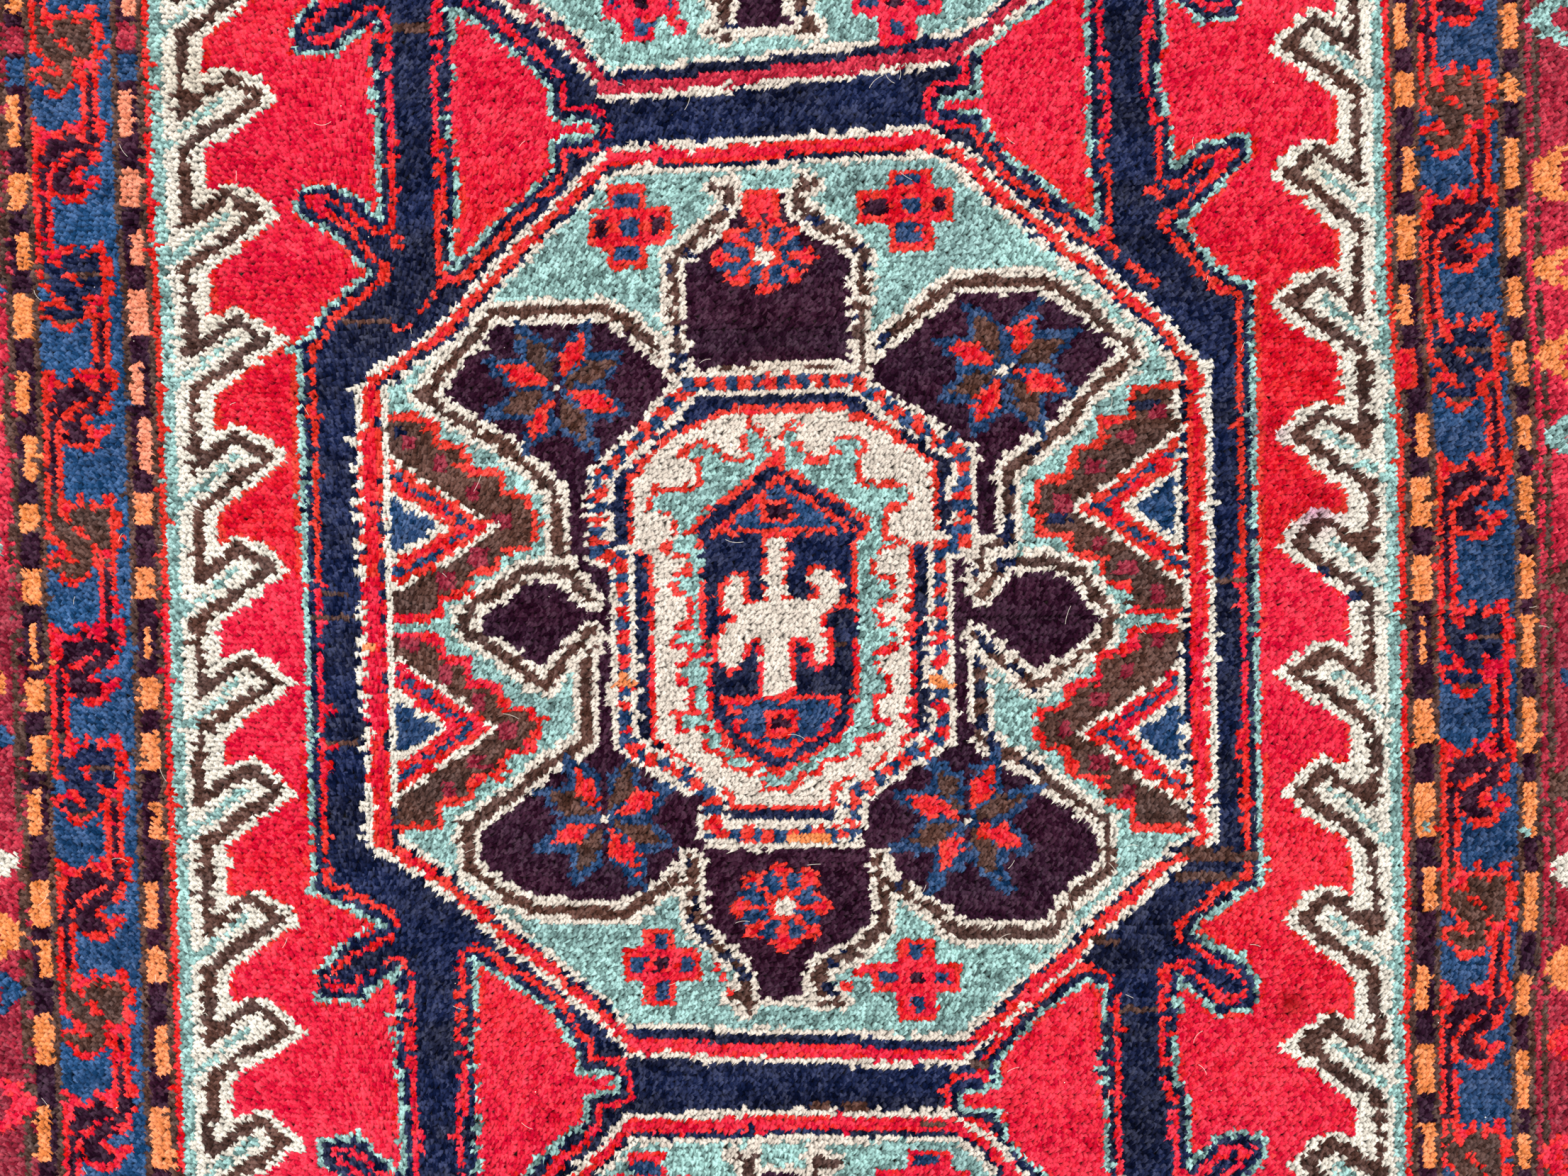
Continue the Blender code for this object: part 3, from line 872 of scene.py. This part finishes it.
# the cut ends of one yarn, joined in one mesh
def makePile(name, grains, which, material):
    corners, faces = makeGrainShape()
    part = {key: values[which][:, None] for key, values in grains.items()}
    count = int(which.sum())
    isTop = corners[None, :, 2] > 0
    cornerX, cornerY = corners[None, :, 0], corners[None, :, 1]
    alongX, alongY = np.cos(part["turn"]), np.sin(part["turn"])
    reach, across = cornerY * pile["rootLong"] * part["big"], cornerX * pile["rootWide"] / part["big"]
    rootX = part["x"] + reach * alongX + across * alongY
    rootY = part["y"] + reach * alongY - across * alongX
    nearCut = insideCut(rootX, rootY) < pile["nearCut"]
    rootZ = np.where(nearCut, pile["rootAtCut"], part["top"] - pile["sink"])
    part["endX"], part["endY"] = part["x"] + part["leanX"], part["y"] + part["leanY"]
    topX = part["endX"] + cornerY * pile["ridge"] * part["big"] * alongX
    topY = part["endY"] + cornerY * pile["ridge"] * part["big"] * alongY
    topZ = part["top"] + pile["tilt"] * cornerY
    verts = np.stack([np.where(isTop, topX, rootX), np.where(isTop, topY, rootY),
                      np.where(isTop, topZ, rootZ)], axis=-1)
    owner, hairs = makeHairs(part)
    verts = np.concatenate([verts.reshape(-1, 3), hairs.reshape(-1, 3)])
    loops = np.concatenate([np.array(face) for face in faces])
    endLoops = (loops[None, :] + len(corners) * np.arange(count)[:, None]).ravel()
    allLoops = np.concatenate([endLoops, np.arange(count * len(corners), len(verts))])
    allSizes = np.concatenate([np.tile([len(face) for face in faces], count), np.full(len(owner), 3)])
    mesh = bpy.data.meshes.new(name)
    mesh.vertices.add(len(verts))
    mesh.vertices.foreach_set("co", verts.astype(np.float32).ravel())
    mesh.loops.add(len(allLoops))
    mesh.loops.foreach_set("vertex_index", allLoops.astype(np.int32))
    mesh.polygons.add(len(allSizes))
    mesh.polygons.foreach_set("loop_start", (np.cumsum(allSizes) - allSizes).astype(np.int32))
    mesh.update(calc_edges=True)
    mesh.shade_smooth()
    for key in ("lot", "soil", "fleck"):
        ofEnd = part[key].ravel()
        setAttribute(mesh, key, np.concatenate([np.repeat(ofEnd, len(corners)), np.repeat(ofEnd[owner], 3)]))
    # depth runs from 0 at an end's root to 1 at its top; the wool paints shade in the crevices by it, and
    # the loose fibres take 1, so no painted shade
    depth = np.tile(np.clip(corners[:, 2], 0, 1), count)
    setAttribute(mesh, "depth", np.concatenate([depth, np.ones(len(owner) * 3)]))
    # one map over the whole rug, and one along each end that starts elsewhere on every end
    flat = verts[allLoops, :2] / 1.02 + 0.5
    ends = np.tile(corners[loops, :2] * np.where(corners[loops, 2:] > 0, 0.7, 1.3), (count, 1))
    ends += np.repeat(part["fleck"], len(loops))[:, None] * 90
    ends = np.concatenate([ends, np.repeat(part["fleck"].ravel()[owner], 3)[:, None] * 90 * np.ones(2)])
    for mapName, places in (("OFBake", flat), ("yarn", ends)):
        uvMap = mesh.uv_layers.new(name=mapName)
        uvMap.data.foreach_set("uv", places.astype(np.float32).ravel())
    return addPiece(name, mesh, material)


def linear(rgb):
    parts = [value / 255 for value in rgb]
    return tuple(v / 12.92 if v <= 0.04045 else ((v + 0.055) / 1.055) ** 2.4 for v in parts) + (1.0,)


def newMaterial(name):
    material = bpy.data.materials.new(name)
    material.use_nodes = True
    return material, material.node_tree, material.node_tree.nodes["Principled BSDF"]


# a node: what comes from another node is linked to its inputs, and the rest is set
def addNode(tree, kind, inputs, **settings):
    node = tree.nodes.new("ShaderNode" + kind)
    for key, value in settings.items():
        setattr(node, key, value)
    for key, value in inputs.items():
        if isinstance(value, bpy.types.NodeSocket):
            tree.links.new(value, node.inputs[key])
        else:
            node.inputs[key].default_value = value
    return node


def attribute(tree, name, output="Fac"):
    return addNode(tree, "Attribute", {}, attribute_name=name).outputs[output]


def noise(tree, place, scale, detail):
    return addNode(tree, "TexNoise", {"Vector": place, "Scale": scale, "Detail": detail}).outputs["Fac"]


def ranged(tree, value, start, end, low, high):
    inputs = {"Value": value, "From Min": start, "From Max": end, "To Min": low, "To Max": high}
    return addNode(tree, "MapRange", inputs).outputs[0]


def times(tree, first, second):
    return addNode(tree, "Math", {0: first, 1: second}, operation="MULTIPLY").outputs[0]


def shaded(tree, color, amount):
    return addNode(tree, "VectorMath", {0: color, "Scale": amount}, operation="SCALE").outputs[0]


def mixed(tree, share, first, second, blend="MIX"):
    inputs = {"Factor": share, 6: first, 7: second}
    return addNode(tree, "Mix", inputs, data_type="RGBA", blend_type=blend).outputs[2]


# gives the shader its color, and a bump from height
def dress(tree, shader, color, height, strength, distance):
    bump = addNode(tree, "Bump", {"Height": height, "Strength": strength, "Distance": distance})
    tree.links.new(bump.outputs[0], shader.inputs["Normal"])
    tree.links.new(color, shader.inputs["Base Color"])


# each yarn: its dye lots, in sRGB; how much darker and lighter its ends are at random, the lighter partly as
# painted glints, and how much painted white highlight the light ones take; how dark the painted shade
# between them is; its sheen
yarns = {
    "red": {"lots": ((246, 62, 44), (250, 10, 2), (248, 0, 60)),
            "fleck": (0.40, 0.14), "pale": 0.055, "gap": 0.44, "sheen": 0.02},
    "navy": {"lots": ((0, 7, 43), (2, 22, 67)),
             "fleck": (0.60, 1.0), "pale": 0.026, "gap": 0.34, "sheen": 0.02},
    "blue": {"lots": ((8, 52, 98), (22, 79, 131)),
             "fleck": (0.48, 0.6), "pale": 0.047, "gap": 0.34, "sheen": 0.04},
    "teal": {"lots": ((138, 176, 173), (152, 196, 190)),
             "fleck": (0.66, 0.60), "pale": 0.061, "gap": 0.30, "sheen": 0.2},
    "ivory": {"lots": ((245, 230, 215), (251, 241, 226)),
              "fleck": (0.35, 0.08), "pale": 0.083, "gap": 0.27, "sheen": 0.1},
    "brown": {"lots": ((86, 50, 39), (72, 45, 39)),
              "fleck": (0.50, 0.8), "pale": 0.029, "gap": 0.34, "sheen": 0.12},
    "aubergine": {"lots": ((47, 0, 32), (38, 0, 31)),
                  "fleck": (0.60, 1.0), "pale": 0.018, "gap": 0.36, "sheen": 0.03},
    "orange": {"lots": ((255, 143, 58), (255, 146, 112)),
               "fleck": (0.34, 0.18), "pale": 0.092, "gap": 0.36, "sheen": 0.2},
    "burgundy": {"lots": ((222, 26, 62), (141, 8, 44)),
                 "fleck": (0.46, 0.45), "pale": 0.043, "gap": 0.36, "sheen": 0.15},
}
stain = {"spill": (0.40, 0.27, 0.12, 1.0), "bled": (0.72, 0.36, 0.62, 1.0)}


def makeWool(name):
    look = yarns[name]
    material, tree, shader = newMaterial("wool" + name.capitalize())
    lot, fleck, soil, depth = (attribute(tree, key) for key in ("lot", "fleck", "soil", "depth"))
    place = addNode(tree, "TexCoord", {}).outputs["Object"]
    dye = addNode(tree, "ValToRGB", {"Fac": lot})
    stops = dye.color_ramp.elements
    for number, lotColor in enumerate(look["lots"]):
        stop = stops[number] if number < 2 else stops.new(1.0)
        stop.color = linear(lotColor)
    for number, stop in enumerate(stops):
        stop.position = number / (len(stops) - 1)
    # lighter and darker ends at random, the lighter partly painted glints, and mottling within a skein
    mottle = ranged(tree, noise(tree, place, 120.0, 3.0), 0.25, 0.75, -0.15, 0.25)
    light = addNode(tree, "Math", {0: fleck, 1: 0.9, 2: mottle}, operation="MULTIPLY_ADD").outputs[0]
    tone = ranged(tree, light, 0.0, 1.0, 1 - look["fleck"][0], 1 + look["fleck"][1])
    # painted shade in the crevices between the ends, darkest at their roots, with a slightly lighter painted
    # top
    paintedCreviceShade = ranged(tree, depth, 0.15, 0.80, look["gap"], 1.1)
    # the yarn's fibres run along each cut end
    yarnMap = addNode(tree, "UVMap", {}, uv_map="yarn").outputs[0]
    along = addNode(tree, "Mapping", {"Vector": yarnMap, "Scale": (7.0, 1.6, 1.0), "Rotation": (0, 0, 0.35)})
    fibre = noise(tree, along.outputs[0], 1.6, 3.0)
    shade = times(tree, times(tree, tone, paintedCreviceShade), ranged(tree, fibre, 0.30, 0.70, 0.52, 1.42))
    color = shaded(tree, dye.outputs["Color"], shade)
    # a painted highlight: the lighter ends are mixed towards white
    pale = times(tree, times(tree, light, shade), look["pale"])
    color = mixed(tree, pale, color, (1.0, 1.0, 1.0, 1.0))
    color = mixed(tree, soil, color, stain["spill"], "MULTIPLY")
    color = mixed(tree, times(tree, soil, -1.0), color, stain["bled"], "MULTIPLY")
    dress(tree, shader, color, fibre, 0.45, 0.0004)
    tree.links.new(ranged(tree, fibre, 0.0, 1.0, 0.78, 0.98), shader.inputs["Roughness"])
    shader.inputs["Specular IOR Level"].default_value = 0.05
    shader.inputs["Sheen Weight"].default_value = look["sheen"]
    shader.inputs["Sheen Roughness"].default_value = 0.45
    return material


strays = {
    "fibres": 110,
    "fibreWide": 0.00015,
    "fibreLong": (0.003, 0.011),
    "bend": 130,               # how sharply a fibre curls, in radians a metre
    "flecks": 40,
    "fleckWide": 0.0009,
    "reach": (0.47, 0.35),     # how far from the middle they lie, across and up the rug
    "seed": 23,
}


# pale loose fibres and flecks of lint, caught in the pile
def makeStrays(material):
    rng = np.random.default_rng(strays["seed"])
    reachX, reachY = strays["reach"]
    mesh = bmesh.new()
    for number in range(strays["fibres"] + strays["flecks"]):
        x, y = rng.uniform(-reachX, reachX), rng.uniform(-reachY, reachY)
        top = float(pileTopAt(x, y)) + 0.0004
        turn, curl = rng.uniform(0, 2 * math.pi), strays["bend"] * rng.choice((-1, 1)) * rng.uniform(0.2, 1)
        length = rng.uniform(*strays["fibreLong"])
        if number >= strays["fibres"]:
            radius = strays["fleckWide"] / 2 * rng.uniform(0.5, 1)
            place = Matrix.Translation((x, y, top))
            bmesh.ops.create_icosphere(mesh, subdivisions=1, radius=radius, matrix=place)
            continue
        strip = bmesh.ops.create_grid(mesh, x_segments=6, y_segments=1, size=0.5)["verts"]
        for corner in strip:
            along, side = (corner.co.x + 0.5) * length, corner.co.y * strays["fibreWide"]
            angle = turn + curl * along
            corner.co.x = x + (math.sin(angle) - math.sin(turn)) / curl - side * math.sin(angle)
            corner.co.y = y - (math.cos(angle) - math.cos(turn)) / curl + side * math.cos(angle)
            corner.co.z = top + 0.0003 * math.sin(along / length * math.pi)
    data = toMesh("strayFibres", mesh)
    for key, value in (("lot", 0.6), ("soil", 0.0), ("fleck", 0.9), ("depth", 1.0)):
        setAttribute(data, key, np.full(len(data.vertices), value))
    return addPiece("strayFibres", data, material)


back = {
    "thick": 0.0026,
    "over": 0.0002,            # how far it lies over the floor
    "inset": 0.0007,
    "cells": (139, 139),       # two knots by two to a cell, to keep the mesh light
    "cotton": (214, 198, 170),
    "warpPitch": 0.0018,
}


# plain cotton, warps under the wefts, ribbed row by row
def makeCotton():
    material, tree, shader = newMaterial("cottonBack")
    place = addNode(tree, "TexCoord", {}).outputs["Object"]
    ribs = []
    for axis, pitch in (("X", back["warpPitch"]), ("Y", rowMm / 1000)):
        inputs = {"Vector": place, "Scale": 2 * math.pi / 20 / pitch, "Distortion": 0.8}
        ribs.append(addNode(tree, "TexWave", inputs, wave_type="BANDS", bands_direction=axis).outputs["Fac"])
    weft = times(tree, *ribs)
    cover = ranged(tree, weft, 0.02, 0.16, 0.0, 1.0)
    color = mixed(tree, cover, linear(back["cotton"]), attribute(tree, "knotColor", "Color"))
    fuzz = ranged(tree, noise(tree, place, 900.0, 4.0), 0.0, 1.0, 0.75, 1.1)
    dress(tree, shader, shaded(tree, color, fuzz), weft, 0.7, 0.0006)
    shader.inputs["Roughness"].default_value = 0.95
    shader.inputs["Specular IOR Level"].default_value = 0.2
    return material


# the woven foundation: a thin closed cloth, its underside coloured by the knots' collars
def makeBack():
    mesh = bmesh.new()
    columns, rows = back["cells"]
    bmesh.ops.create_grid(mesh, x_segments=columns, y_segments=rows, size=0.5)
    size = (rug["length"] - 2 * back["inset"], rug["width"] - 2 * back["inset"], 1)
    bmesh.ops.scale(mesh, vec=size, verts=mesh.verts)
    bmesh.ops.reverse_faces(mesh, faces=mesh.faces)
    for corner in mesh.verts:
        corner.co.x += edgeStray(corner.co.x, corner.co.y)[0]
        corner.co.y += edgeStray(corner.co.x, corner.co.y)[1]
        corner.co.z = back["over"]
    rim = [edge for edge in mesh.edges if edge.is_boundary]
    rise = bmesh.ops.extrude_edge_only(mesh, edges=rim)["geom"]
    raised = [item for item in rise if isinstance(item, bmesh.types.BMVert)]
    bmesh.ops.translate(mesh, vec=(0, 0, back["thick"]), verts=raised)
    bmesh.ops.edgeloop_fill(mesh, edges=[item for item in rise if isinstance(item, bmesh.types.BMEdge)])
    bmesh.ops.recalc_face_normals(mesh, faces=mesh.faces)
    data = toMesh("foundation", mesh)
    centres = np.zeros(len(data.polygons) * 3, np.float32)
    data.polygons.foreach_get("center", centres)
    centres = centres.reshape(-1, 3)
    # the knot over the middle of each face gives it its colour
    pitches = [size / 1000 for size in weave["knot"]]
    k, r = (np.round(centres[:, axis] / pitch).astype(int) for axis, pitch in enumerate(pitches))
    k = np.clip(k + weave["columns"], 0, chart.shape[0] - 1)
    r = np.clip(r + weave["rows"], 0, chart.shape[1] - 1)
    colors = np.array([linear(yarns[name]["lots"][1]) for name in yarnNames]) * 0.85
    colors[:, 3] = 1
    knotColor = data.attributes.new("knotColor", "FLOAT_COLOR", "FACE")
    knotColor.data.foreach_set("color", colors[chart[k, r]].astype(np.float32).ravel())
    return addPiece("foundation", data, makeCotton())


paintPattern()
print("pattern painted", np.bincount(chart.ravel()))
grains = layPile()
middles = onRug(grains["k"], grains["row"])[0]
print("pile laid", len(middles), "cut ends")
for index, name in enumerate(yarnNames):
    wool = makeWool(name)
    if name == "ivory":
        makeStrays(wool)
    # red is cut in two, so that no piece is too heavy
    shares = [("", True)]
    if name == "red":
        shares = [("Left", middles < -0.19), ("Right", middles >= -0.19)]
    for side, share in shares:
        which = (grains["yarn"] == index) & share
        makePile("pile" + name.capitalize() + side, grains, which, wool)
foundation = makeBack()
print("foundation made")

room = {
    "floorColor": (172, 169, 163),
    "floorHalf": 12.0,
    "cameraHeight": 0.92,
    "frameWide": 0.885,        # how much of the rug the camera sees, across
    "sky": (1.0, 0.99, 0.97, 1.0),
    "skyStrength": 0.56,
    # place, size and power of each light
    "lights": {"windowLight": ((-5.4, 6.15, 6.6), 2.6, 1215), "fillLight": ((1.4, -1.5, 2.0), 2.2, 19)},
}


def makeFloor():
    mesh = bmesh.new()
    bmesh.ops.create_grid(mesh, x_segments=1, y_segments=1, size=room["floorHalf"])
    floor = bpy.data.objects.new("floor", toMesh("floor", mesh))
    scene.collection.objects.link(floor)
    material, tree, shader = newMaterial("paleFloor")
    place = addNode(tree, "TexCoord", {}).outputs["Object"]
    paler = tuple(value + 8 for value in room["floorColor"])
    color = mixed(tree, noise(tree, place, 3.0, 4.0), linear(room["floorColor"]), linear(paler))
    tree.links.new(color, shader.inputs["Base Color"])
    shader.inputs["Roughness"].default_value = 0.7
    floor.data.materials.append(material)


def makeLight(name, place, size, power):
    light = bpy.data.lights.new(name, "AREA")
    light.shape = "DISK"
    light.size = size
    light.energy = power
    lamp = bpy.data.objects.new(name, light)
    lamp.location = place
    direction = -lamp.location
    lamp.rotation_euler = direction.to_track_quat("-Z", "Y").to_euler()
    scene.collection.objects.link(lamp)


def makeCamera():
    lens = bpy.data.cameras.new("camera")
    lens.sensor_width = 36.0
    lens.lens = lens.sensor_width * (room["cameraHeight"] - rug["pileTop"]) / room["frameWide"]
    lens.clip_start = 0.01
    camera = bpy.data.objects.new("camera", lens)
    camera.location = (0, 0, room["cameraHeight"])
    scene.collection.objects.link(camera)
    scene.camera = camera


makeFloor()
for name, values in room["lights"].items():
    makeLight(name, *values)
world = bpy.data.worlds.new("softRoom")
scene.world = world
world.use_nodes = True
sky = world.node_tree.nodes["Background"]
sky.inputs[0].default_value = room["sky"]
sky.inputs[1].default_value = room["skyStrength"]
makeCamera()
scene.view_settings.view_transform = "Standard"
scene.view_settings.look = "None"
print("floor, light and camera made")
